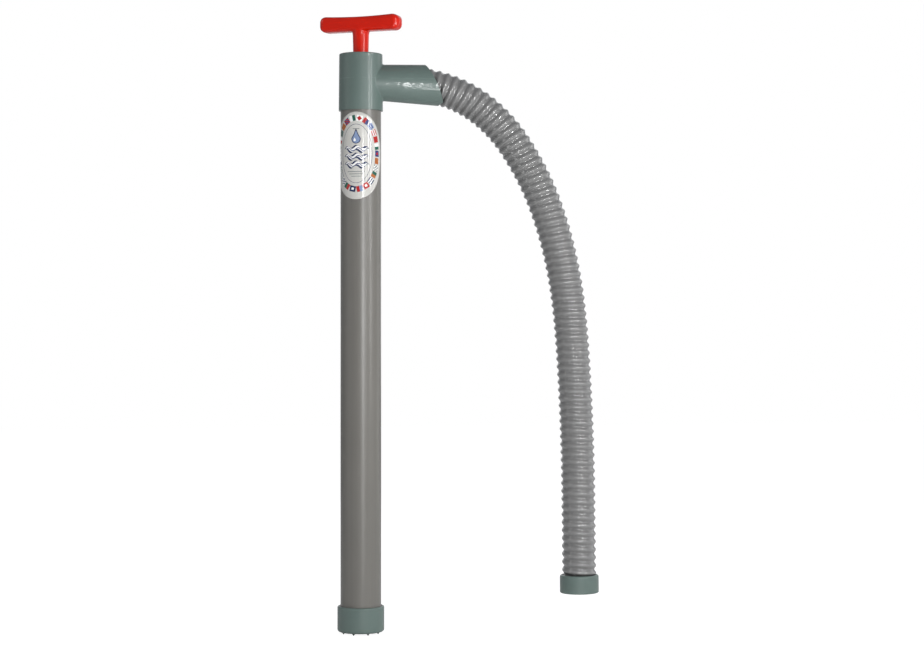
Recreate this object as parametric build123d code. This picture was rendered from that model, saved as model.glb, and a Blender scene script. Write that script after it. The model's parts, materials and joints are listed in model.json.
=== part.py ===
from build123d import *
import math
import os

# A hand-operated bilge pump: a straight barrel with a valved foot, a tee-shaped discharge head
# with a side spout, a red T-handle on a sliding rod, and a corrugated hose with a cuff.
# The origin is on the barrel's axis at the tips of the foot's nubs. +Z is up the barrel and
# +X is towards the spout. Everything is in millimetres.

# ---- Driving dimensions ----
NUB_HEIGHT = 2.0
NUB_COUNT = 8
NUB_CIRCLE_R = 19.3
NUB_R = 1.7
NUB_TURN = 16.3  # degrees from the spout's direction to the first nub
NUB_TIP_R = 0.35

BARREL_OD = 42.16  # a 1-1/4 inch nominal plastic pipe
BARREL_WALL = 2.4
BARREL_BOTTOM = 10.0
BARREL_TOP = 552.0

FOOT_OD = 48.6
FOOT_TOP = 28.6
FOOT_EDGE = 2.7
FOOT_MOUTH_R = 15.5
STRAINER_R = 19.0
STRAINER_THICK = 2.0
STRAINER_HOLE_R = 1.9
STRAINER_PITCH = 5.4

SEAT_THICK = 3.0
PORT_COUNT = 6
FOOT_PORT_R = 3.75
FOOT_PORT_CIRCLE_R = 9.5
FLAP_R = 15.0
FLAP_THICK = 2.0
FLAP_LIFT = 4.0
STUD_SHANK_R = 2.45
STUD_SLEEVE_R = 3.0
STUD_HEAD_R = 6.0

HEAD_TOP = 600.7
HEAD_BOTTOM = 541.7
HEAD_TOP_OD = 44.9
HEAD_BOTTOM_OD = 45.9
HEAD_EDGE = 1.0
CHAMBER_R = 17.6
CHAMBER_ROOF = 590.0

# The spout's outside is a cone that widens towards its mouth.
SPOUT_ROOT_X = 6.0
SPOUT_ROOT_Z = 571.9
SPOUT_ROOT_R = 18.2
SPOUT_TIP_X = 100.0
SPOUT_TIP_Z = 569.3
SPOUT_TIP_R = 22.2
# The mouth is cut across obliquely, with a slightly rounded cut.
MOUTH_CUT_R = 250.0
MOUTH_CUT_X = -150.8
MOUTH_CUT_Z = 467.2
SPOUT_PASSAGE_R = 13.0
SPOUT_FILLET = 1.5  # where the spout grows out of the head

BUSH_R = 10.5
BUSH_FLANGE_R = 13.0
BUSH_FLANGE = 1.6
BUSH_BOTTOM = 586.0
SEAL_R = 1.5  # the ring seal's section

ROD_R = 6.35
ROD_RUNNING_GAP = 0.05
JOURNAL_R = 4.0
ROD_TOP = 625.0

PISTON_R = 18.2
PISTON_BOTTOM = 38.0
PISTON_THICK = 12.0
CUP_GROOVE_R = 15.6
CUP_GAP = 0.04
PISTON_PORT_R = 3.2
PISTON_PORT_CIRCLE_R = 11.4
VALVE_R = 15.4
VALVE_THICK = 2.0
VALVE_LIFT = 3.0
SPACER_R = 6.2
STOP_R = 10.0
STOP_THICK = 2.0
NUT_ACROSS_FLATS = 13.0
NUT_HEIGHT = 6.0
WASHER_R = 9.0
WASHER_THICK = 2.0

HANDLE_GAP = 0.1
STEM_BOTTOM_R = 8.0
STEM_TOP_R = 8.5
BAR_LENGTH = 89.0
BAR_HEIGHT = 17.4
BAR_DEPTH = 19.0
BAR_BOTTOM = 623.8
BAR_DISH = 1.8  # how far the bar's top dips at its middle
BAR_END_TOP_R = 10.0
BAR_END_BOTTOM_R = 6.0
BAR_EDGE = 3.9
BAR_TURN = -29.0  # degrees that the bar is turned from the spout's direction

HOSE_OD = 36.0
HOSE_ID = 28.0
HOSE_GAP = 0.1
# The hose's route, from inside the spout to inside the cuff.
HOSE_ROUTE = [
    (38.0, 571.5),
    (61.0, 571.2),
    (91.0, 565.2),
    (118.5, 552.5),
    (142.5, 533.5),
    (163.0, 509.0),
    (187.5, 466.5),
    (205.0, 418.0),
    (216.0, 371.0),
    (222.5, 322.0),
    (227.0, 254.0),
    (230.0, 182.0),
    (231.0, 112.0),
    (231.7, 45.4),
]

CUFF_OD = 41.0
CUFF_LENGTH = 19.0
CUFF_LIP = 8.0
CUFF_BORE_R = 14.3
CUFF_EDGE = 2.4

LABEL_HEIGHT = 90.0
LABEL_WIDTH = 62.0  # along the barrel's curve
LABEL_THICK = 0.15
LABEL_CENTRE_Z = 494.2
LABEL_TURN = -19.9  # degrees to the side, seen from the front

# ---- Worked-out sizes ----
BARREL_R = BARREL_OD / 2
BORE_R = BARREL_R - BARREL_WALL
SEAT_BOTTOM = BARREL_BOTTOM - SEAT_THICK
STRAINER_BOTTOM = SEAT_BOTTOM - STRAINER_THICK
FLAP_TOP = BARREL_BOTTOM + FLAP_THICK
PISTON_TOP = PISTON_BOTTOM + PISTON_THICK
VALVE_TOP = PISTON_TOP + VALVE_THICK
STOP_BOTTOM = VALVE_TOP + VALVE_LIFT
STOP_TOP = STOP_BOTTOM + STOP_THICK
ROD_RADIAL_BORE = ROD_R + ROD_RUNNING_GAP

# ---- Helpers ----


def rod(radius, bottom, top, x=0.0, y=0.0):
    """A solid upright cylinder between two heights."""
    height = top - bottom
    return Pos(x, y, bottom + height / 2) * Cylinder(radius, height)


def ring(outer, inner, bottom, top):
    """An upright ring between two heights."""
    return rod(outer, bottom, top) - rod(inner, bottom - 1, top + 1)


def turned(points):
    """The solid that an outline of (radius, height) points makes when it turns about Z."""
    outline = Polyline(*[(r, 0, z) for r, z in points], close=True)
    return revolve(make_face(outline), Axis.Z)


def around(count, radius, start=0.0):
    """(x, y) places evenly spaced round a circle."""
    angles = [math.radians(start + 360 * i / count) for i in range(count)]
    return [(radius * math.cos(a), radius * math.sin(a)) for a in angles]


def edges_at(solid, height, radius):
    """The circular edges of a solid at one height and one radius about Z."""
    found = solid.edges().filter_by(GeomType.CIRCLE)
    return [e for e in found if abs(e.center().Z - height) < 0.01 and abs(e.radius - radius) < 0.01]


def top_x(edge):
    """How far an edge reaches along X."""
    return edge.bounding_box().max.X


def route_path():
    """The hose's centreline: straight runs joined by tangent arcs as large as the runs allow."""
    points = [Vector(x, 0, z) for x, z in HOSE_ROUTE]
    radii = []
    for before, here, after in zip(points, points[1:], points[2:]):
        turn = math.radians((here - before).get_angle(after - here))
        shorter = min((here - before).length, (after - here).length)
        radii.append(0.45 * shorter / math.tan(turn / 2))
    print("hose radii in diameters:", [round(r / HOSE_OD, 1) for r in radii])
    return FilletPolyline(*points, radius=radii)


def swept(path, radius):
    """A round bar that follows a path."""
    start = Plane(origin=path @ 0, z_dir=path % 0)
    return sweep(start * Circle(radius), path=path)


# ---- Barrel, foot and foot valve ----


def barrel_tube():
    return ring(BARREL_R, BORE_R, BARREL_BOTTOM, BARREL_TOP)


def foot_cap():
    outer_r = FOOT_OD / 2
    cap = turned([(0, NUB_HEIGHT), (outer_r, NUB_HEIGHT), (outer_r, FOOT_TOP), (0, FOOT_TOP)])
    cap = fillet(edges_at(cap, NUB_HEIGHT, outer_r), FOOT_EDGE)
    cap -= rod(FOOT_MOUTH_R, 0, STRAINER_BOTTOM + 1)
    cap -= rod(STRAINER_R, STRAINER_BOTTOM, SEAT_BOTTOM + 1)
    cap -= rod(BARREL_R, SEAT_BOTTOM, FOOT_TOP + 1)
    cap = fillet(edges_at(cap, FOOT_TOP, outer_r), 1.6)
    cap = chamfer(edges_at(cap, FOOT_TOP, BARREL_R), 1.2)
    for x, y in around(NUB_COUNT, NUB_CIRCLE_R, NUB_TURN):
        nub = Cone(NUB_TIP_R, NUB_R, NUB_HEIGHT)
        cap += Pos(x, y, NUB_HEIGHT / 2) * nub
        cap += rod(NUB_R, NUB_HEIGHT, NUB_HEIGHT + 1, x, y)
    return cap


def intake_strainer():
    disc = rod(STRAINER_R, STRAINER_BOTTOM, SEAT_BOTTOM)
    disc -= rod(STUD_HEAD_R, STRAINER_BOTTOM - 1, SEAT_BOTTOM + 1)
    holes = []
    for row in range(-3, 4):
        for column in range(-3, 4):
            x = STRAINER_PITCH * (column + 0.5 * (row % 2))
            y = STRAINER_PITCH * row * math.sin(math.radians(60))
            if 8.4 < math.hypot(x, y) < FOOT_MOUTH_R:
                holes.append(rod(STRAINER_HOLE_R, STRAINER_BOTTOM - 1, SEAT_BOTTOM + 1, x, y))
    return disc - holes


def foot_valve_seat():
    disc = ring(BARREL_R, STUD_SHANK_R, SEAT_BOTTOM, BARREL_BOTTOM)
    for x, y in around(PORT_COUNT, FOOT_PORT_CIRCLE_R):
        disc -= rod(FOOT_PORT_R, SEAT_BOTTOM - 1, BARREL_BOTTOM + 1, x, y)
    return disc


def foot_valve_stud():
    stop = FLAP_TOP + FLAP_LIFT
    return turned([
        (0, SEAT_BOTTOM - 1.8), (3.6, SEAT_BOTTOM - 1.8), (4.4, SEAT_BOTTOM), (STUD_SHANK_R, SEAT_BOTTOM),
        (STUD_SHANK_R, BARREL_BOTTOM), (STUD_SLEEVE_R, BARREL_BOTTOM), (STUD_SLEEVE_R, stop),
        (STUD_HEAD_R, stop), (STUD_HEAD_R, stop + 1.2), (4.6, stop + 2.2), (0, stop + 2.2),
    ])


def foot_valve_flap():
    return ring(FLAP_R, STUD_SLEEVE_R + 0.1, BARREL_BOTTOM, FLAP_TOP)


# ---- Discharge head, rod guide and seal ----


def spout_cone():
    """The spout's outside, with its lower lip longer than its upper one."""
    root = Plane(origin=(SPOUT_ROOT_X, 0, SPOUT_ROOT_Z), z_dir=(1, 0, 0)) * Circle(SPOUT_ROOT_R)
    tip = Plane(origin=(SPOUT_TIP_X, 0, SPOUT_TIP_Z), z_dir=(1, 0, 0)) * Circle(SPOUT_TIP_R)
    mouth = Pos(MOUTH_CUT_X, 0, MOUTH_CUT_Z) * Rot(X=90) * Cylinder(MOUTH_CUT_R, 120)
    return loft([root, tip]) & mouth


def discharge_head(path):
    body = turned([
        (0, HEAD_BOTTOM), (HEAD_BOTTOM_OD / 2, HEAD_BOTTOM), (HEAD_TOP_OD / 2, HEAD_TOP), (0, HEAD_TOP),
    ])
    body = fillet(edges_at(body, HEAD_TOP, HEAD_TOP_OD / 2), HEAD_EDGE)
    body += spout_cone()
    curves = body.edges().filter_by(GeomType.BSPLINE)
    body = fillet([e for e in curves if top_x(e) < HEAD_BOTTOM_OD / 2 + 1], SPOUT_FILLET)
    start = path @ 0
    reach = start.X + 2  # the passage runs a little into the hose's socket
    passage = Pos(reach / 2, 0, start.Z) * Rot(Y=90) * Cylinder(SPOUT_PASSAGE_R, reach)
    body -= rod(BARREL_R, HEAD_BOTTOM - 1, BARREL_TOP)
    body -= rod(CHAMBER_R, BARREL_TOP - 1, CHAMBER_ROOF)
    body -= rod(BUSH_R, CHAMBER_ROOF - 1, HEAD_TOP + 1)
    body -= rod(BUSH_FLANGE_R, HEAD_TOP - BUSH_FLANGE, HEAD_TOP + 1)
    body -= passage
    body -= swept(path, HOSE_OD / 2 + HOSE_GAP)
    return body


def rod_guide_bush():
    middle = HEAD_TOP - 6.0
    bush = rod(BUSH_R, BUSH_BOTTOM, HEAD_TOP) + rod(BUSH_FLANGE_R, HEAD_TOP - BUSH_FLANGE, HEAD_TOP)
    bush -= rod(ROD_RADIAL_BORE, BUSH_BOTTOM - 1, HEAD_TOP + 1)
    return bush - rod(ROD_RADIAL_BORE + 2 * SEAL_R, middle - SEAL_R, middle + SEAL_R)


def rod_seal():
    return Pos(0, 0, HEAD_TOP - 6.0) * Torus(ROD_RADIAL_BORE + SEAL_R, SEAL_R)


# ---- Piston, rod and handle ----


def piston_body():
    body = ring(PISTON_R, JOURNAL_R + ROD_RUNNING_GAP, PISTON_BOTTOM, PISTON_TOP)
    body -= ring(PISTON_R + 1, CUP_GROOVE_R, PISTON_BOTTOM + 3, PISTON_TOP - 2.5)
    for x, y in around(PORT_COUNT, PISTON_PORT_CIRCLE_R):
        body -= rod(PISTON_PORT_R, PISTON_BOTTOM - 1, PISTON_TOP + 1, x, y)
    return body


def piston_cup():
    low = PISTON_BOTTOM + 3
    high = PISTON_TOP - 2.5
    lip = BORE_R - CUP_GAP
    return turned([
        (CUP_GROOVE_R, low), (lip - 1.2, low), (lip, high - 1.5), (lip, high), (lip - 1.0, high),
        (lip - 1.7, high - 3.0), (CUP_GROOVE_R, high - 3.0),
    ])


def piston_valve():
    return ring(VALVE_R, SPACER_R + 0.15, PISTON_TOP, VALVE_TOP)


def valve_spacer():
    return ring(SPACER_R, JOURNAL_R + ROD_RUNNING_GAP, PISTON_TOP, STOP_BOTTOM)


def valve_stop_washer():
    return ring(STOP_R, JOURNAL_R + ROD_RUNNING_GAP, STOP_BOTTOM, STOP_TOP)


def piston_washer():
    top = PISTON_BOTTOM - ROD_RUNNING_GAP
    return ring(WASHER_R, JOURNAL_R, top - WASHER_THICK, top)


def piston_nut():
    top = PISTON_BOTTOM - ROD_RUNNING_GAP - WASHER_THICK
    hexagon = RegularPolygon(NUT_ACROSS_FLATS / 2, 6, major_radius=False)
    nut = Pos(0, 0, top - NUT_HEIGHT) * extrude(hexagon, NUT_HEIGHT)
    corner = NUT_ACROSS_FLATS / 2 / math.cos(math.radians(30))
    rounding = turned([
        (0, top - NUT_HEIGHT), (corner - 0.8, top - NUT_HEIGHT), (corner + 0.2, top - NUT_HEIGHT + 0.7),
        (corner + 0.2, top), (0, top),
    ])
    return (nut & rounding) - rod(JOURNAL_R, top - NUT_HEIGHT - 1, top + 1)


def piston_rod():
    end = PISTON_BOTTOM - ROD_RUNNING_GAP - WASHER_THICK - NUT_HEIGHT - 1.5
    shoulder = STOP_TOP + ROD_RUNNING_GAP
    return rod(JOURNAL_R, end, shoulder + 1) + rod(ROD_R, shoulder, ROD_TOP)


def t_handle():
    """A rounded bar, a little dished along its top, on a stem that tapers down from it."""
    half = BAR_LENGTH / 2
    top = BAR_BOTTOM + BAR_HEIGHT
    outline = Polyline((-half, top), (-half, BAR_BOTTOM), (half, BAR_BOTTOM), (half, top))
    side = make_face(outline + ThreePointArc((half, top), (0, top - BAR_DISH), (-half, top)))
    side = fillet([v for v in side.vertices() if v.Y > top - 1], BAR_END_TOP_R)
    side = fillet([v for v in side.vertices() if v.Y < BAR_BOTTOM + 0.01], BAR_END_BOTTOM_R)
    bar = extrude(Plane.XZ * side, BAR_DEPTH / 2, both=True)
    rims = [e for e in bar.edges() if abs(abs(e.center().Y) - BAR_DEPTH / 2) < 0.01]
    bar = fillet(rims, BAR_EDGE)
    stem_bottom = HEAD_TOP + HANDLE_GAP
    stem = turned([
        (0, stem_bottom), (STEM_BOTTOM_R, stem_bottom), (STEM_TOP_R, BAR_BOTTOM - 2),
        (STEM_TOP_R + 0.8, BAR_BOTTOM + 0.5), (STEM_TOP_R + 0.8, BAR_BOTTOM + 4), (0, BAR_BOTTOM + 4),
    ])
    handle = bar + stem - rod(ROD_R, stem_bottom - 1, ROD_TOP)
    return Rot(Z=BAR_TURN) * handle


# ---- Hose and cuff ----


def hose(path):
    tube = swept(path, HOSE_OD / 2) - swept(path, HOSE_ID / 2)
    expected = math.pi * ((HOSE_OD / 2) ** 2 - (HOSE_ID / 2) ** 2) * path.length
    print("hose length", round(path.length, 1), "volume over section times length", tube.volume / expected)
    return tube


def hose_cuff(path):
    """A short sleeve over the hose's end, with a lip that the hose stops against."""
    outer_r = CUFF_OD / 2
    end = path @ 1
    place = Plane(origin=end, z_dir=path % 1)
    sleeve = rod(outer_r, CUFF_LIP - CUFF_LENGTH, CUFF_LIP)
    sleeve = fillet(edges_at(sleeve, CUFF_LIP - CUFF_LENGTH, outer_r), CUFF_EDGE)
    sleeve = fillet(edges_at(sleeve, CUFF_LIP, outer_r), 1.2)
    sleeve -= rod(HOSE_OD / 2, -CUFF_LENGTH, 0)
    sleeve -= rod(CUFF_BORE_R, -1, CUFF_LIP + 1)
    print("cuff end", end, path % 1)
    return place * sleeve


# ---- Label ----


def barrel_label():
    """An oval sheet that lies on the barrel's curve."""
    half_turn = LABEL_WIDTH / 2 / BARREL_R
    points = []
    for i in range(28):
        a = 2 * math.pi * i / 28
        points.append((BARREL_R * math.sin(half_turn * math.cos(a)), LABEL_HEIGHT / 2 * math.sin(a)))
    oval = make_face(Spline(*points, periodic=True))
    prism = extrude(Plane.XZ * oval, BARREL_R + 5)
    shell = ring(BARREL_R + LABEL_THICK, BARREL_R, -LABEL_HEIGHT, LABEL_HEIGHT)
    return Pos(0, 0, LABEL_CENTRE_Z) * Rot(Z=LABEL_TURN) * (shell & prism)


# ---- Build and write ----

hose_path = route_path()
pieces = {
    "barrel_tube": barrel_tube(),
    "foot_cap": foot_cap(),
    "intake_strainer": intake_strainer(),
    "foot_valve_seat": foot_valve_seat(),
    "foot_valve_stud": foot_valve_stud(),
    "foot_valve_flap": foot_valve_flap(),
    "discharge_head": discharge_head(hose_path),
    "rod_guide_bush": rod_guide_bush(),
    "rod_seal": rod_seal(),
    "piston_body": piston_body(),
    "piston_cup": piston_cup(),
    "piston_valve": piston_valve(),
    "valve_spacer": valve_spacer(),
    "valve_stop_washer": valve_stop_washer(),
    "piston_washer": piston_washer(),
    "piston_nut": piston_nut(),
    "piston_rod": piston_rod(),
    "t_handle": t_handle(),
    "hose": hose(hose_path),
    "hose_cuff": hose_cuff(hose_path),
    "barrel_label": barrel_label(),
}
os.makedirs("parts", exist_ok=True)
for name, piece in pieces.items():
    export_step(piece, f"parts/{name}.step")
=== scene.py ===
import json
import math

import bmesh
import bpy
from mathutils import Matrix, Vector


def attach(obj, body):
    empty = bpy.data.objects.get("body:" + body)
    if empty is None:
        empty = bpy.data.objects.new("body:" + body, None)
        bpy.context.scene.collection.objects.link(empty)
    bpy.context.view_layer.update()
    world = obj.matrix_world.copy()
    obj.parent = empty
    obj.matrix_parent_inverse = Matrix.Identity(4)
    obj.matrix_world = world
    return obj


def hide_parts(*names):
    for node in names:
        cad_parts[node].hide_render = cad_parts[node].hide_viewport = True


# The looks of a hand bilge pump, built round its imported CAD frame. Everything is in metres, in the
# frame's own axes: the barrel stands on the origin along +Z, and the spout points along +X.

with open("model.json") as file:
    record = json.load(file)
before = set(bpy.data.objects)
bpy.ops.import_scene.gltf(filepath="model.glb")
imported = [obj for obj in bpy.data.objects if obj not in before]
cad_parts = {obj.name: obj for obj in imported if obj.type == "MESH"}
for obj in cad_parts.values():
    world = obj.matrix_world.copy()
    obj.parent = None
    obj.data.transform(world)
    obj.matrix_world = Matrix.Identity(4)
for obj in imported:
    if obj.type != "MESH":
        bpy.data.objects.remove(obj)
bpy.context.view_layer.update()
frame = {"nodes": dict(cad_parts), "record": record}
MM = 0.001

# ---- Driving values ----

CAMERA_TURN = 9.0  # degrees that the spout points away from the camera's own right
CAMERA_RIGHT = 105 * MM  # of the barrel's axis
CAMERA_BACK = 2128 * MM
CAMERA_HEIGHT = 327 * MM
CAMERA_LENS = 79.87
CAMERA_DROP = -0.007576  # the view is shifted down by this share of the frame's width

# The hose's route as (x, z) in mm, from inside the spout to inside the cuff, as in the CAD part.
HOSE_ROUTE = [
    (38.0, 571.5),
    (61.0, 571.2),
    (91.0, 565.2),
    (118.5, 552.5),
    (142.5, 533.5),
    (163.0, 509.0),
    (187.5, 466.5),
    (205.0, 418.0),
    (216.0, 371.0),
    (222.5, 322.0),
    (227.0, 254.0),
    (230.0, 182.0),
    (231.0, 112.0),
    (231.7, 45.4),
]
HOSE_CREST_R = 18.0 * MM
HOSE_VALLEY_DEPTH = 1.95 * MM
HOSE_BORE_R = 14.0 * MM
HOSE_RING_STEP = 0.58 * MM
HOSE_BORE_STEP = 5 * MM  # the plain bore needs far fewer rings
HOSE_SIDES = 72
PITCH_TOP = 8.11 * MM  # of the ridge, one left-handed spiral, at the spout
PITCH_BOTTOM = 8.32 * MM  # and at the cuff
RIDGE_START = 0.38  # turns of the ridge at the hose's start
RIDGE_FULLNESS = 0.95  # under 1, the crests are fuller than the valleys

WITNESS_Z = 574.4 * MM  # the line on the head where its mould's halves met
BARREL_R = 21.08 * MM
LABEL_CENTRE_Z = 494.2 * MM
LABEL_TURN = -19.9  # degrees round the barrel from its front, which faces -Y
LABEL_HALF_WIDTH = 31.0 * MM  # along the barrel's curve
LABEL_HALF_HEIGHT = 45.0 * MM
LABEL_THICK = 0.15 * MM
LABEL_RINGS, LABEL_SIDES = 34, 180
INK_THICK = 0.03 * MM

BAR_TURN = -29.0  # degrees from the spout's direction
BAR_HALF = 44.9 * MM  # half the bar's length
BAR_HALF_DEPTH = 9.6 * MM
BAR_BOTTOM = 624.1 * MM
BAR_TOP = 641.2 * MM
BAR_DISH = 1.8 * MM  # how far the top dips at its middle
BAR_END_PLAN = 6.0 * MM  # how far from its end the bar starts to narrow, seen from above
BAR_END_TOP = 8.6 * MM  # the same for its top edge, seen from the side
BAR_END_BOTTOM = 8.0 * MM
BAR_SOFTNESS = 0.46  # 1 is an oval section, and 0 a square one
BAR_RINGS, BAR_SIDES = 96, 64
BAR_CLOSED = 0.02 * MM  # the end rings keep this half depth
STEM_OUTLINE = [(8.0, 600.8), (8.5, 621.2), (9.0, 623.4), (9.0, 630.0)]  # (radius, height) in mm
STEM_SIDES = 48
HANDLE_VOXEL = 0.45 * MM  # bar and stem are remeshed into one skin of this cell
HANDLE_SMOOTHING = 12

FLOOR_HALF = 4.0  # metres
FLOOR_GLOW = 1.3
FLOOR_GLOW_SHARE = 0.72  # of what the camera sees of the floor, which reads as plain white
WORLD_FILL = 0.305  # the strength of the even light from all round

# ---- Camera ----


def to_row(right, back, height):
    """A point told from the camera's side: how far right of the barrel's axis, nearer and up."""
    turn = math.radians(CAMERA_TURN)
    x = right * math.cos(turn) - back * math.sin(turn)
    y = -right * math.sin(turn) - back * math.cos(turn)
    return Vector((x, y, height))


def make_camera():
    data = bpy.data.cameras.new("camera")
    data.lens = CAMERA_LENS
    data.sensor_width = 36
    data.shift_y = CAMERA_DROP
    data.clip_end = 50
    made = bpy.data.objects.new("camera", data)
    bpy.context.scene.collection.objects.link(made)
    made.location = to_row(CAMERA_RIGHT, CAMERA_BACK, CAMERA_HEIGHT)
    made.rotation_euler = (math.radians(90), 0, math.radians(-CAMERA_TURN))
    bpy.context.scene.camera = made


make_camera()


# ---- Node materials ----


class Look:
    """A Principled material, with short calls for the nodes that feed it."""

    def __init__(self, name):
        self.material = bpy.data.materials.new(name)
        self.material.use_nodes = True
        self.nodes = self.material.node_tree.nodes
        self.links = self.material.node_tree.links
        self.shader = self.nodes["Principled BSDF"]
        self.place = self.nodes.new("ShaderNodeTexCoord").outputs["Object"]

    def set(self, **values):
        for name, value in values.items():
            self.shader.inputs[name.replace("_", " ")].default_value = value

    def feed(self, socket, value):
        self.links.new(value, self.shader.inputs[socket])

    def stretched(self, scale):
        node = self.nodes.new("ShaderNodeMapping")
        node.inputs["Scale"].default_value = scale
        self.links.new(self.place, node.inputs["Vector"])
        return node.outputs["Vector"]

    def noise(self, scale, detail=2.0, rough=0.5, place=None):
        node = self.nodes.new("ShaderNodeTexNoise")
        node.inputs["Scale"].default_value = scale
        node.inputs["Detail"].default_value = detail
        node.inputs["Roughness"].default_value = rough
        self.links.new(place or self.place, node.inputs["Vector"])
        return node.outputs["Fac"]

    def spread(self, value, low, high, new_low, new_high):
        """The value's range low to high, laid on another range and held inside it."""
        node = self.nodes.new("ShaderNodeMapRange")
        for index, number in zip((1, 2, 3, 4), (low, high, new_low, new_high)):
            node.inputs[index].default_value = number
        self.links.new(value, node.inputs[0])
        return node.outputs[0]

    def math(self, kind, first, second):
        node = self.nodes.new("ShaderNodeMath")
        node.operation = kind
        for index, value in enumerate((first, second)):
            if isinstance(value, (int, float)):
                node.inputs[index].default_value = value
            else:
                self.links.new(value, node.inputs[index])
        return node.outputs[0]

    def colours(self, value, stops):
        """Colours along a value, as (place, (r, g, b)) stops."""
        node = self.nodes.new("ShaderNodeValToRGB")
        ramp = node.color_ramp
        while len(ramp.elements) < len(stops):
            ramp.elements.new(0.5)
        for element, (at, colour) in zip(ramp.elements, stops):
            element.position = at
            element.color = (*colour, 1)
        self.links.new(value, node.inputs["Fac"])
        return node.outputs["Color"]

    def two_tone(self, value, colour, darker, lighter, low=0.3, high=0.7):
        """A colour that runs from a darker to a lighter shade of itself along a value."""
        return self.colours(value, [(low, shaded(colour, darker)), (high, shaded(colour, lighter))])

    def mixed(self, share, first, second):
        node = self.nodes.new("ShaderNodeMix")
        node.data_type = "RGBA"
        self.links.new(share, node.inputs["Factor"])
        for socket, value in zip((node.inputs[6], node.inputs[7]), (first, second)):
            if isinstance(value, tuple):
                socket.default_value = (*value, 1)
            else:
                self.links.new(value, socket)
        return node.outputs[2]

    def openness(self, reach):
        """How open a place is to its surroundings, from 0 deep in a groove to 1 on a crest."""
        node = self.nodes.new("ShaderNodeAmbientOcclusion")
        node.inputs["Distance"].default_value = reach
        node.samples = 8
        return node.outputs["AO"]

    def witness_line(self):
        """A thin broken line round the head, where the halves of its mould met."""
        split = self.nodes.new("ShaderNodeSeparateXYZ")
        self.links.new(self.place, split.inputs[0])
        off = self.math("ABSOLUTE", self.math("SUBTRACT", split.outputs[2], WITNESS_Z), 0)
        line = self.spread(off, 0.15 * MM, 0.5 * MM, 0.5, 0)
        return self.math("MULTIPLY", line, self.spread(self.noise(90, 2), 0.42, 0.6, 0, 1))

    def bump(self, height, depth, strength=1.0, under=None):
        node = self.nodes.new("ShaderNodeBump")
        node.inputs["Strength"].default_value = strength
        node.inputs["Distance"].default_value = depth
        self.links.new(height, node.inputs["Height"])
        if under is not None:
            self.links.new(under, node.inputs["Normal"])
        return node.outputs["Normal"]


def srgb(r, g, b):
    """Linear values of an 8-bit sRGB colour."""

    def linear(c):
        return ((c / 255 + 0.055) / 1.055) ** 2.4 if c > 10 else c / 255 / 12.92

    return tuple(linear(c) for c in (r, g, b))


def shaded(colour, factor):
    return tuple(min(1.0, c * factor) for c in colour)


def moulded_plastic(name, colour, roughness, gloss=0.0, mottle=0.05):
    """Injection-moulded plastic: a slight mottle, handling marks, painted shade in its recesses,
    fine grain and long waves.

    gloss is the weight of a sharper coat over the satin skin.
    """
    look = Look(name)
    patches = look.noise(22, 4, 0.6)
    tint = look.two_tone(patches, colour, 1 - mottle, 1 + mottle)
    dust = look.spread(look.noise(420, 5, 0.7), 0.6, 0.8, 0, 0.12)
    skin = look.mixed(dust, tint, shaded(colour, 1.35))
    skin = look.mixed(look.witness_line(), skin, shaded(colour, 1.5))
    # Painted shade: the colour darkens towards a dark copy of itself where nearby surfaces close in,
    # in recesses and creases.
    painted_shade = look.spread(look.openness(4 * MM), 0.3, 0.8, 0.7, 0)
    look.feed("Base Color", look.mixed(painted_shade, skin, shaded(colour, 0.3)))
    marks = look.noise(150, 5, 0.65)
    look.feed("Roughness", look.spread(marks, 0.35, 0.75, roughness - 0.03, roughness + 0.07))
    waves = look.bump(look.noise(45, 1.5), 0.1 * MM)
    look.feed("Normal", look.bump(look.noise(900, 2), 0.006 * MM, 1, waves))
    look.set(IOR=1.46, Coat_Weight=gloss, Coat_Roughness=0.06, Coat_IOR=1.5)
    if gloss:
        look.feed("Coat Normal", look.bump(look.noise(80, 2), 0.2 * MM))
    return look.material


def extruded_plastic(name, colour, roughness):
    """Extruded pipe: faint streaks along its length over an even satin skin."""
    look = Look(name)
    streaks = look.noise(1, 3, 0.55, look.stretched((260, 260, 2.2)))
    patches = look.noise(14, 3, 0.5)
    fine, broad = look.math("MULTIPLY", streaks, 0.6), look.math("MULTIPLY", patches, 0.4)
    both = look.math("ADD", fine, broad)
    look.feed("Base Color", look.two_tone(both, colour, 0.94, 1.06))
    scuffs = look.noise(120, 6, 0.7)
    look.feed("Roughness", look.spread(scuffs, 0.35, 0.8, roughness - 0.02, roughness + 0.08))
    lines = look.bump(streaks, 0.03 * MM, 0.6)
    look.feed("Normal", look.bump(look.noise(900, 2), 0.005 * MM, 1, lines))
    look.set(IOR=1.5)
    return look.material


def hose_vinyl(name, colour):
    """Soft vinyl: a satin body with fine pores and painted shade in its grooves, under a sharp
    gloss.
    """
    look = Look(name)
    patches = look.noise(28, 4, 0.6)
    tint = look.two_tone(patches, colour, 0.97, 1.03)
    pores = look.spread(look.noise(1100, 2), 0.62, 0.8, 0, 0.2)
    skin = look.mixed(pores, tint, shaded(colour, 0.85))
    # Painted shade: the colour darkens in the grooves between the ridges, where nearby surfaces
    # close in.
    painted_shade = look.spread(look.openness(5 * MM), 0.6, 1.0, 1.0, 0)
    look.feed("Base Color", look.mixed(painted_shade, skin, shaded(colour, 0.3)))
    smears = look.noise(260, 4, 0.65)
    look.feed("Roughness", look.spread(smears, 0.3, 0.7, 0.34, 0.46))
    ripple = look.bump(look.noise(420, 2), 0.01 * MM, 1)
    look.feed("Normal", look.bump(look.noise(1400, 2), 0.002 * MM, 1, ripple))
    look.set(IOR=1.45, Coat_Weight=1.0, Coat_Roughness=0.045, Coat_IOR=1.62)
    return look.material


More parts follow.
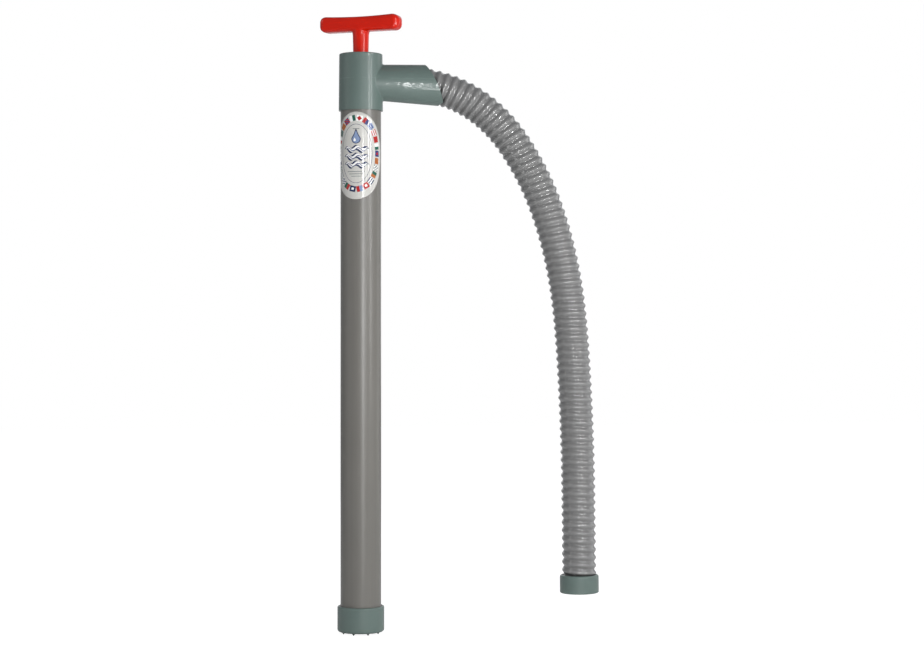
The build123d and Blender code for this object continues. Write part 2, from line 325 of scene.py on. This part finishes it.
def glossy_red(name):
    """Glossy moulded red, with faint flow patches and handling marks."""
    look = Look(name)
    colour = srgb(202, 26, 4)
    patches = look.noise(30, 3, 0.6)
    look.feed("Base Color", look.two_tone(patches, colour, 0.94, 1.05))
    marks = look.noise(140, 5, 0.7)
    look.feed("Roughness", look.spread(marks, 0.4, 0.8, 0.2, 0.3))
    waves = look.bump(look.noise(60, 2), 0.12 * MM)
    look.feed("Normal", look.bump(look.noise(900, 1), 0.004 * MM, 1, waves))
    look.set(IOR=1.38)
    return look.material


def printed(name, colour):
    """Ink on vinyl, with a faint screen and a clear film over it."""
    look = Look(name)
    screen = look.noise(2600, 1)
    look.feed("Base Color", look.two_tone(screen, colour, 0.94, 1.05, 0.35, 0.65))
    film = look.noise(140, 3, 0.6)
    look.feed("Roughness", look.spread(film, 0.3, 0.7, 0.07, 0.15))
    look.feed("Normal", look.bump(look.noise(90, 2), 0.03 * MM))
    look.set(IOR=1.5)
    return look.material


def turned_metal(name, colour, roughness, across):
    """Bright metal with fine lines; across tells how tightly they lie along x, y and z."""
    look = Look(name)
    lines = look.noise(1, 4, 0.6, look.stretched(across))
    look.feed("Base Color", look.two_tone(lines, colour, 0.88, 1.05))
    look.feed("Roughness", look.spread(lines, 0.3, 0.7, roughness - 0.06, roughness + 0.1))
    look.feed("Normal", look.bump(lines, 0.012 * MM))
    look.set(Metallic=1.0)
    return look.material


def rubber(name):
    """Matt black rubber with a little dust."""
    look = Look(name)
    black, dusty = (0.012, 0.012, 0.013), (0.045, 0.045, 0.045)
    dust = look.noise(300, 4, 0.6)
    look.feed("Base Color", look.colours(dust, [(0.35, black), (0.75, dusty)]))
    look.feed("Roughness", look.spread(dust, 0.3, 0.7, 0.5, 0.75))
    look.feed("Normal", look.bump(look.noise(1400, 2), 0.02 * MM))
    return look.material


HEAD_COLOUR = srgb(92, 108, 103)
BARREL_COLOUR = srgb(109, 107, 102)
HOSE_COLOUR = srgb(117, 117, 116)
LABEL_COLOUR = srgb(198, 197, 192)
ACETAL_COLOUR = srgb(222, 221, 214)
ALUMINIUM_COLOUR = (0.82, 0.83, 0.84)
STEEL_COLOUR = (0.66, 0.65, 0.63)

SLOT_LOOKS = {
    "head_plastic": moulded_plastic("head_plastic", HEAD_COLOUR, 0.42, gloss=0.22),
    "barrel_plastic": extruded_plastic("barrel_plastic", BARREL_COLOUR, 0.3),
    "hose_vinyl": hose_vinyl("hose_vinyl", HOSE_COLOUR),
    "handle_red": glossy_red("handle_red"),
    "label_vinyl": printed("label_vinyl", LABEL_COLOUR),
    "rod_aluminium": turned_metal("rod_aluminium", ALUMINIUM_COLOUR, 0.24, (900, 900, 9)),
    "guide_acetal": moulded_plastic("guide_acetal", ACETAL_COLOUR, 0.3, mottle=0.03),
    "black_rubber": rubber("black_rubber"),
    "stainless_steel": turned_metal("stainless_steel", STEEL_COLOUR, 0.28, (160, 160, 1400)),
}


def dress_cad_nodes():
    """Every CAD node that stays shown takes its slot's look."""
    for sub in frame["record"]["subparts"]:
        node = frame["nodes"][sub["node"]]
        for place in node.material_slots:
            place.material = SLOT_LOOKS[place.material.name.split(".")[0]]


# ---- Hose ----


def nurbs_line(points):
    """The fine points of the smooth line that a route gives."""
    curve = bpy.data.curves.new("route", "CURVE")
    curve.dimensions = "3D"
    curve.resolution_u = 64
    spline = curve.splines.new("NURBS")
    spline.points.add(len(points) - 1)
    for place, (x, z) in zip(spline.points, points):
        place.co = (x * MM, 0, z * MM, 1)
    spline.order_u = 3
    spline.use_endpoint_u = True
    holder = bpy.data.objects.new("route", curve)
    mesh = bpy.data.meshes.new_from_object(holder)
    line = [v.co.copy() for v in mesh.vertices]
    bpy.data.objects.remove(holder)
    bpy.data.curves.remove(curve)
    bpy.data.meshes.remove(mesh)
    return line


def even_stations(line, step):
    """(distance, point, direction) every step along a line."""
    runs = [(b - a).length for a, b in zip(line, line[1:])]
    total = sum(runs)
    count = round(total / step)
    found = []
    index, passed = 0, 0.0
    for i in range(count + 1):
        at = total * i / count
        while index < len(runs) - 1 and passed + runs[index] < at:
            passed += runs[index]
            index += 1
        share = (at - passed) / runs[index]
        point = line[index].lerp(line[index + 1], share)
        before = line[max(index - 1, 0)]
        after = line[min(index + 2, len(line) - 1)]
        found.append((at, point, (after - before).normalized()))
    return found


def ridge_turns(at, total):
    """How many turns of the ridge lie before a distance, with a pitch that grows along the hose."""
    growth = (PITCH_BOTTOM - PITCH_TOP) / total
    return RIDGE_START + math.log((PITCH_TOP + growth * at) / PITCH_TOP) / growth


def ridge_radius(turns):
    """How far the hose's skin stands from its line, at a number of turns along the ridge."""
    wave = (0.5 + 0.5 * math.cos(2 * math.pi * turns)) ** RIDGE_FULLNESS
    return HOSE_CREST_R - HOSE_VALLEY_DEPTH * (1 - wave)


def new_piece(name, mesh, look):
    made = bpy.data.objects.new(name, mesh)
    mesh.materials.append(look)
    bpy.context.scene.collection.objects.link(made)
    return made


def smooth(mesh):
    for face in mesh.polygons:
        face.use_smooth = True


def add_ring(mesh, station, radius_at):
    """A ring of vertices round a station, with a radius for each angle."""
    _, point, along = station
    side = Vector((0, 1, 0))
    out = side.cross(along)
    ring = []
    for i in range(HOSE_SIDES):
        a = 2 * math.pi * i / HOSE_SIDES
        spoke = out * math.cos(a) + along.cross(out) * math.sin(a)
        ring.append(mesh.verts.new(point + spoke * radius_at(a)))
    return ring


def bridge(mesh, first, second):
    """Faces between two rings of as many vertices."""
    for i in range(len(first)):
        j = (i + 1) % len(first)
        mesh.faces.new((first[i], first[j], second[j], second[i]))


def make_hose():
    """The ridged hose: its spiral outside and its plain bore, joined at both ends."""
    line = nurbs_line(HOSE_ROUTE)
    stations = even_stations(line, HOSE_RING_STEP)
    total = stations[-1][0]
    mesh = bmesh.new()
    outside = []
    for station in stations:
        turns = ridge_turns(station[0], total)
        outside.append(add_ring(mesh, station, lambda a: ridge_radius(turns + a / (2 * math.pi))))
    bore = even_stations(line, HOSE_BORE_STEP)
    inside = [add_ring(mesh, station, lambda a: HOSE_BORE_R) for station in bore]
    rings = outside + inside[::-1]
    for first, second in zip(rings, rings[1:] + rings[:1]):
        bridge(mesh, first, second)
    bmesh.ops.recalc_face_normals(mesh, faces=mesh.faces)
    data = bpy.data.meshes.new("bilge_hose")
    mesh.to_mesh(data)
    mesh.free()
    smooth(data)
    hose = new_piece("bilge_hose", data, SLOT_LOOKS["hose_vinyl"])
    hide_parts("hose")
    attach(hose, "barrel")


make_hose()


# ---- Handle ----


def apply_modifier(piece, kind, **settings):
    modifier = piece.modifiers.new(kind, kind)
    for name, value in settings.items():
        setattr(modifier, name, value)
    bpy.context.view_layer.update()
    shape = piece.evaluated_get(bpy.context.evaluated_depsgraph_get())
    data = bpy.data.meshes.new_from_object(shape)
    piece.modifiers.remove(modifier)
    old = piece.data
    piece.data = data
    bpy.data.meshes.remove(old)


def rounded(inside, radius):
    """How far out a rounded corner of a radius stands, from 0 at its end to 1 past its curve."""
    short = max(0.0, 1 - inside / radius)
    return math.sqrt(max(0.0, 1 - short ** 2))


def bar_section(share):
    """The bar's half depth, underside and top at a share of its half length from its middle."""
    from_end = BAR_HALF * (1 - share)
    depth = BAR_HALF_DEPTH * rounded(from_end, BAR_END_PLAN)
    low = BAR_BOTTOM + BAR_END_BOTTOM * (1 - rounded(from_end, BAR_END_BOTTOM))
    drop = BAR_END_TOP * (1 - rounded(from_end, BAR_END_TOP))
    high = BAR_TOP - BAR_DISH * (1 - share ** 2) - drop
    return depth, low, high


def rounded_bar(mesh):
    """The bar: soft-cornered sections along X that close at both ends."""
    rings = []
    for i in range(BAR_RINGS + 1):
        # the sections crowd towards the ends
        along = -math.cos(math.pi * i / BAR_RINGS)
        depth, low, high = bar_section(abs(along))
        ring = []
        for j in range(BAR_SIDES):
            a = 2 * math.pi * j / BAR_SIDES
            c, t = math.cos(a), math.sin(a)
            y = math.copysign(abs(c) ** BAR_SOFTNESS, c) * max(depth, BAR_CLOSED)
            z = (low + high) / 2 + math.copysign(abs(t) ** BAR_SOFTNESS, t) * (high - low) / 2
            ring.append(mesh.verts.new((along * BAR_HALF, y, z)))
        rings.append(ring)
    for first, second in zip(rings, rings[1:]):
        bridge(mesh, first, second)
    mesh.faces.new(rings[0])
    mesh.faces.new(rings[-1])


def tapered_stem(mesh):
    """The stem: rings that widen upwards and flare into the bar."""
    angles = [2 * math.pi * j / STEM_SIDES for j in range(STEM_SIDES)]
    rings = []
    for radius, height in STEM_OUTLINE:
        r, z = radius * MM, height * MM
        rings.append([mesh.verts.new((r * math.cos(a), r * math.sin(a), z)) for a in angles])
    for first, second in zip(rings, rings[1:]):
        bridge(mesh, first, second)
    mesh.faces.new(rings[0])
    mesh.faces.new(rings[-1])


def make_handle():
    """The T-handle: bar and stem run into one soft moulding."""
    mesh = bmesh.new()
    rounded_bar(mesh)
    tapered_stem(mesh)
    mesh.transform(Matrix.Rotation(math.radians(BAR_TURN), 4, "Z"))
    bmesh.ops.recalc_face_normals(mesh, faces=mesh.faces)
    data = bpy.data.meshes.new("soft_handle")
    mesh.to_mesh(data)
    mesh.free()
    handle = new_piece("soft_handle", data, SLOT_LOOKS["handle_red"])
    apply_modifier(handle, "REMESH", mode="VOXEL", voxel_size=HANDLE_VOXEL)
    apply_modifier(handle, "SMOOTH", factor=0.5, iterations=HANDLE_SMOOTHING)
    smooth(handle.data)
    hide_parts("t_handle")
    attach(handle, "handle")


make_handle()


# ---- Label ----


def on_barrel(across, up, lift):
    """A place on the barrel: along its curve and up from the label's middle, and off its skin."""
    angle = math.radians(LABEL_TURN) + across / BARREL_R
    radius = BARREL_R + lift
    return Vector((radius * math.sin(angle), -radius * math.cos(angle), LABEL_CENTRE_Z + up))


def make_label_sheet():
    """The oval sheet, as rings round its middle, with an edge down to the barrel."""
    mesh = bmesh.new()
    middle = mesh.verts.new(on_barrel(0, 0, LABEL_THICK))
    last = None
    for i in range(1, LABEL_RINGS + 1):
        share = i / LABEL_RINGS
        ring = []
        for j in range(LABEL_SIDES):
            a = 2 * math.pi * j / LABEL_SIDES
            across = LABEL_HALF_WIDTH * share * math.cos(a)
            up = LABEL_HALF_HEIGHT * share * math.sin(a)
            ring.append(mesh.verts.new(on_barrel(across, up, LABEL_THICK)))
        if last is None:
            for j in range(LABEL_SIDES):
                mesh.faces.new((middle, ring[j], ring[(j + 1) % LABEL_SIDES]))
        else:
            bridge(mesh, last, ring)
        last = ring
    inward = [Vector((-v.co.x, -v.co.y, 0)).normalized() * LABEL_THICK for v in last]
    edge = [mesh.verts.new(v.co + step) for v, step in zip(last, inward)]
    bridge(mesh, last, edge)
    data = bpy.data.meshes.new("label_sheet")
    bmesh.ops.recalc_face_normals(mesh, faces=mesh.faces)
    mesh.to_mesh(data)
    mesh.free()
    smooth(data)
    sheet = new_piece("label_sheet", data, SLOT_LOOKS["label_vinyl"])
    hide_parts("barrel_label")
    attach(sheet, "barrel")


make_label_sheet()

INKS = {
    "ink_red": srgb(172, 38, 38),
    "ink_blue": srgb(50, 60, 112),
    "ink_navy": srgb(38, 48, 84),
    "ink_green": srgb(40, 92, 78),
    "ink_orange": srgb(170, 100, 56),
    "ink_sky": srgb(130, 148, 182),
    "ink_grey": srgb(120, 128, 126),
    "ink_white": srgb(240, 240, 238),
}


class Print:
    """Marks printed on the label, as thin patches that follow its curve."""

    def __init__(self):
        self.mesh = bmesh.new()
        self.inks = list(INKS)

    def patch(self, ink, place, columns, rows, layer=1):
        """A patch of small cells: place(u, v) gives its (across, up) in millimetres."""
        lift = LABEL_THICK + INK_THICK * layer
        lines = []
        for j in range(rows + 1):
            points = [place(i / columns, j / rows) for i in range(columns + 1)]
            lines.append([self.mesh.verts.new(on_barrel(x * MM, y * MM, lift)) for x, y in points])
        for low, high in zip(lines, lines[1:]):
            for i in range(columns):
                face = self.mesh.faces.new((low[i], low[i + 1], high[i + 1], high[i]))
                face.material_index = self.inks.index(ink)
                face.smooth = True

    def box(self, ink, centre, turn, left, bottom, right, top, layer=1):
        """A rectangle in a mark's own axes."""

        def place(u, v):
            x, y = left + (right - left) * u, bottom + (top - bottom) * v
            return turned_about(centre, turn, x, y)

        self.patch(ink, place, math.ceil(right - left), math.ceil(top - bottom), layer)

    def finish(self):
        bmesh.ops.recalc_face_normals(self.mesh, faces=self.mesh.faces)
        data = bpy.data.meshes.new("label_print")
        self.mesh.to_mesh(data)
        self.mesh.free()
        piece = bpy.data.objects.new("label_print", data)
        for ink in self.inks:
            data.materials.append(printed(ink, INKS[ink]))
        bpy.context.scene.collection.objects.link(piece)
        return piece


def turned_about(centre, turn, x, y):
    """A place in a mark's own axes, on the label."""
    c, s = math.cos(turn), math.sin(turn)
    return centre[0] + x * c - y * s, centre[1] + x * s + y * c


# The print's own sizes are in millimetres on the flat label.
FLAG_W, FLAG_H = 6.4, 6.0
RING_HALF_W, RING_HALF_H = 24.2, 36.6  # the oval that the flags stand on
RING_UP = 2.0  # the printed ovals sit a little above the label's middle
WAVE_HEIGHTS = (6.6, -1.4, -9.4)
WAVE_SWELL = 1.5
RULES = ((27.4, 3.6), (-16.6, 9.4), (-19.0, 7.6), (-21.4, 5.0))  # (height, half length)
RULE_HALF = 0.35


def flag_halves(page, at, turn, first, second):
    page.box(first, at, turn, -FLAG_W / 2, -FLAG_H / 2, 0, FLAG_H / 2)
    page.box(second, at, turn, 0, -FLAG_H / 2, FLAG_W / 2, FLAG_H / 2)


def flag_plain(page, at, turn, first, _second=None):
    page.box(first, at, turn, -FLAG_W / 2, -FLAG_H / 2, FLAG_W / 2, FLAG_H / 2)


def flag_bars(page, at, turn, first, second):
    for i in range(5):
        low = -FLAG_H / 2 + FLAG_H * i / 5
        page.box((first, second)[i % 2], at, turn, -FLAG_W / 2, low, FLAG_W / 2, low + FLAG_H / 5)


def flag_checks(page, at, turn, first, second):
    for i in range(4):
        for j in range(4):
            x, y = -FLAG_W / 2 + FLAG_W * i / 4, -FLAG_H / 2 + FLAG_H * j / 4
            page.box((first, second)[(i + j) % 2], at, turn, x, y, x + FLAG_W / 4, y + FLAG_H / 4)


def flag_inset(page, at, turn, first, second):
    flag_plain(page, at, turn, first)
    page.box(second, at, turn, -FLAG_W / 5, -FLAG_H / 5, FLAG_W / 5, FLAG_H / 5, 2)


def flag_diamond(page, at, turn, first, second):
    flag_plain(page, at, turn, second)
    half = FLAG_H / 3.2
    page.box(first, at, turn + math.pi / 4, -half, -half, half, half, 2)


FLAGS = [
    (flag_diamond, "ink_red", "ink_white"),
    (flag_halves, "ink_red", "ink_blue"),
    (flag_bars, "ink_sky", "ink_blue"),
    (flag_bars, "ink_red", "ink_white"),
    (flag_plain, "ink_red", "ink_red"),
    (flag_halves, "ink_white", "ink_green"),
    (flag_inset, "ink_blue", "ink_red"),
    (flag_plain, "ink_orange", "ink_orange"),
    (flag_checks, "ink_grey", "ink_white"),
    (flag_halves, "ink_green", "ink_orange"),
    (flag_bars, "ink_navy", "ink_white"),
    (flag_inset, "ink_red", "ink_white"),
    (flag_halves, "ink_sky", "ink_red"),
    (flag_inset, "ink_navy", "ink_white"),
    (flag_halves, "ink_red", "ink_green"),
    (flag_checks, "ink_navy", "ink_white"),
    (flag_bars, "ink_grey", "ink_white"),
    (flag_checks, "ink_green", "ink_white"),
    (flag_halves, "ink_blue", "ink_white"),
    (flag_inset, "ink_white", "ink_navy"),
    (flag_diamond, "ink_grey", "ink_white"),
    (flag_halves, "ink_red", "ink_white"),
    (flag_bars, "ink_green", "ink_grey"),
    (flag_plain, "ink_orange", "ink_orange"),
    (flag_checks, "ink_blue", "ink_red"),
    (flag_halves, "ink_white", "ink_green"),
]


def ring_of_flags(page):
    """Small two-colour flags, evenly spaced round an oval and turned to follow it."""
    steps = 720
    angles = [2 * math.pi * i / steps for i in range(steps + 1)]
    places = [(RING_HALF_W * math.sin(a), RING_UP + RING_HALF_H * math.cos(a)) for a in angles]
    runs = [math.dist(a, b) for a, b in zip(places, places[1:])]
    passed, index = 0.0, 0
    for n, (kind, first, second) in enumerate(FLAGS):
        target = sum(runs) * (n + 0.5) / len(FLAGS)
        while passed + runs[index] < target:
            passed += runs[index]
            index += 1
        here, after = places[index], places[index + 1]
        turn = math.atan2(after[1] - here[1], after[0] - here[0])
        kind(page, here, turn, first, second)


def oval_line(page, ink, half_w, half_h, thick):
    """A thin line round an oval."""

    def place(u, v):
        a = 2 * math.pi * u
        grown = thick * (v - 0.5)
        return (half_w + grown) * math.cos(a), RING_UP + (half_h + grown) * math.sin(a)

    page.patch(ink, place, 120, 1)


def wave(page, ink, up, half, thick, waves, layer=1):
    """A wavy band that thins to a point at both ends."""

    def place(u, v):
        width = thick * min(1.0, 5 * u, 5 * (1 - u))
        rise = WAVE_SWELL * math.sin(2 * math.pi * waves * u)
        return half * (2 * u - 1), up + rise + width * (v - 0.5)

    page.patch(ink, place, 60, 3, layer)


def droplet(page, ink, middle, radius, tip, layer):
    """A drop: a round belly drawn up to a point."""

    def place(u, v):
        a = 2 * math.pi * u
        top = max(0.0, math.cos(a))
        across = radius * math.sin(a) * (1 - 0.35 * top ** 2)
        return middle[0] + v * across, middle[1] + v * (radius * math.cos(a) + tip * top ** 6)

    page.patch(ink, place, 48, 6, layer)


def make_label_print():
    """The label's marks: a droplet over three waves, plain rules and a ring of small flags."""
    page = Print()
    oval_line(page, "ink_navy", half_w=17.2, half_h=30.2, thick=0.4)
    ring_of_flags(page)
    droplet(page, "ink_navy", middle=(0, 17.0), radius=4.9, tip=5.4, layer=1)
    droplet(page, "ink_sky", middle=(0, 16.9), radius=4.0, tip=4.4, layer=2)
    droplet(page, "ink_white", middle=(-1.4, 15.8), radius=1.3, tip=1.2, layer=3)
    for up in WAVE_HEIGHTS:
        wave(page, "ink_navy", up, half=14.0, thick=5.4, waves=2.5)
        wave(page, "ink_white", up + 0.2, half=12.6, thick=3.2, waves=2.25, layer=2)
        wave(page, "ink_blue", up - 0.3, half=11.6, thick=0.9, waves=2.07, layer=3)
    for up, half in RULES:
        page.box("ink_grey", (0, up), 0, -half, -RULE_HALF, half, RULE_HALF)
    sheet = page.finish()
    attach(sheet, "barrel")


make_label_print()
dress_cad_nodes()


# ---- Stage ----


def make_floor():
    """A pale floor that the camera sees as plain white, while it still takes part in the light."""
    look = Look("floor")
    nodes, links = look.nodes, look.links
    darker, lighter = (0.82, 0.82, 0.82), (0.86, 0.86, 0.86)
    look.feed("Base Color", look.colours(look.noise(3, 2), [(0.3, darker), (0.7, lighter)]))
    look.set(Roughness=0.7)
    seen = nodes.new("ShaderNodeLightPath").outputs["Is Camera Ray"]
    glow = nodes.new("ShaderNodeEmission")
    glow.inputs["Color"].default_value = (1, 1, 1, 1)
    glow.inputs["Strength"].default_value = FLOOR_GLOW
    share = look.math("MULTIPLY", seen, FLOOR_GLOW_SHARE)
    mix = nodes.new("ShaderNodeMixShader")
    links.new(share, mix.inputs[0])
    links.new(look.shader.outputs[0], mix.inputs[1])
    links.new(glow.outputs[0], mix.inputs[2])
    links.new(mix.outputs[0], nodes["Material Output"].inputs["Surface"])
    mesh = bpy.data.meshes.new("floor")
    corners = [(-1, -1), (1, -1), (1, 1), (-1, 1)]
    mesh.from_pydata([(x * FLOOR_HALF, y * FLOOR_HALF, 0) for x, y in corners], [], [(0, 1, 2, 3)])
    floor = new_piece("floor", mesh, look.material)


def make_world():
    """An even, faintly cool fill, with plain white where the camera looks past the object."""
    world = bpy.data.worlds.new("studio")
    bpy.context.scene.world = world
    world.use_nodes = True
    nodes, links = world.node_tree.nodes, world.node_tree.links
    fill = nodes["Background"]
    fill.inputs["Color"].default_value = (0.93, 0.95, 1.0, 1)
    fill.inputs["Strength"].default_value = WORLD_FILL
    white = nodes.new("ShaderNodeBackground")
    white.inputs["Color"].default_value = (1, 1, 1, 1)
    white.inputs["Strength"].default_value = 1.0
    mix = nodes.new("ShaderNodeMixShader")
    links.new(nodes.new("ShaderNodeLightPath").outputs["Is Camera Ray"], mix.inputs[0])
    links.new(fill.outputs[0], mix.inputs[1])
    links.new(white.outputs[0], mix.inputs[2])
    links.new(mix.outputs[0], nodes["World Output"].inputs["Surface"])


def softbox(name, place, target, width, height, power):
    """A rectangular lamp of a size in metres and a power in watts, turned to face a target."""
    data = bpy.data.lights.new(name, "AREA")
    data.shape = "RECTANGLE"
    data.size, data.size_y = width, height
    data.energy = power
    light = bpy.data.objects.new(name, data)
    bpy.context.scene.collection.objects.link(light)
    light.location = place
    light.rotation_euler = (Vector(target) - place).to_track_quat("-Z", "Y").to_euler()
    light.visible_camera = False


# Thin tubes in front and at the right draw the streaks on the barrel, the head and the spout, and
# the sparkles on the hose's ridges. The wide panes give the soft shading.
MIDDLE = (0.08, 0, 0.4)
ON_BARREL, ON_FOOT, ON_HEAD, ON_HOSE = (0, 0, 0.45), (0, 0, 0.1), (0.08, 0, 0.5), (0.15, 0, 0.35)
FRONT = 0.87  # how far nearer to the camera the front tubes stand
TUBE = 0.02  # how wide a tube is

softbox("tube_near", to_row(0.222, FRONT, 0.39), ON_BARREL, TUBE, height=0.39, power=1.65)
softbox("tube_far", to_row(0.274, FRONT, 0.385), ON_BARREL, TUBE, height=0.39, power=1.3)
softbox("tube_low", to_row(0.25, FRONT, 0.06), ON_FOOT, width=0.03, height=0.12, power=0.45)
softbox("side_near", to_row(0.59, 0.56, 0.69), ON_HEAD, TUBE, height=0.28, power=1.85)
softbox("side_mid", to_row(0.53, FRONT, 0.42), ON_HOSE, TUBE, height=0.50, power=0.8)
softbox("side_far", to_row(0.86, 0.50, 0.50), ON_HOSE, TUBE, height=0.50, power=2.0)
softbox("window_right", to_row(1.1, 0.35, 0.30), MIDDLE, width=0.7, height=1.2, power=1.1)
softbox("rim_right", to_row(1.2, -0.55, 0.45), MIDDLE, width=0.5, height=1.2, power=2.2)
softbox("window_left", to_row(-1.1, 0.28, 0.3), MIDDLE, width=0.5, height=0.9, power=0.6)
softbox("high_left", to_row(-1.15, 0.3, 1.1), MIDDLE, width=0.5, height=0.5, power=2.0)
softbox("back", to_row(0.1, -1.3, 0.8), MIDDLE, width=1.6, height=1.2, power=4.5)
make_world()
make_floor()
bpy.context.scene.view_settings.view_transform = "Standard"
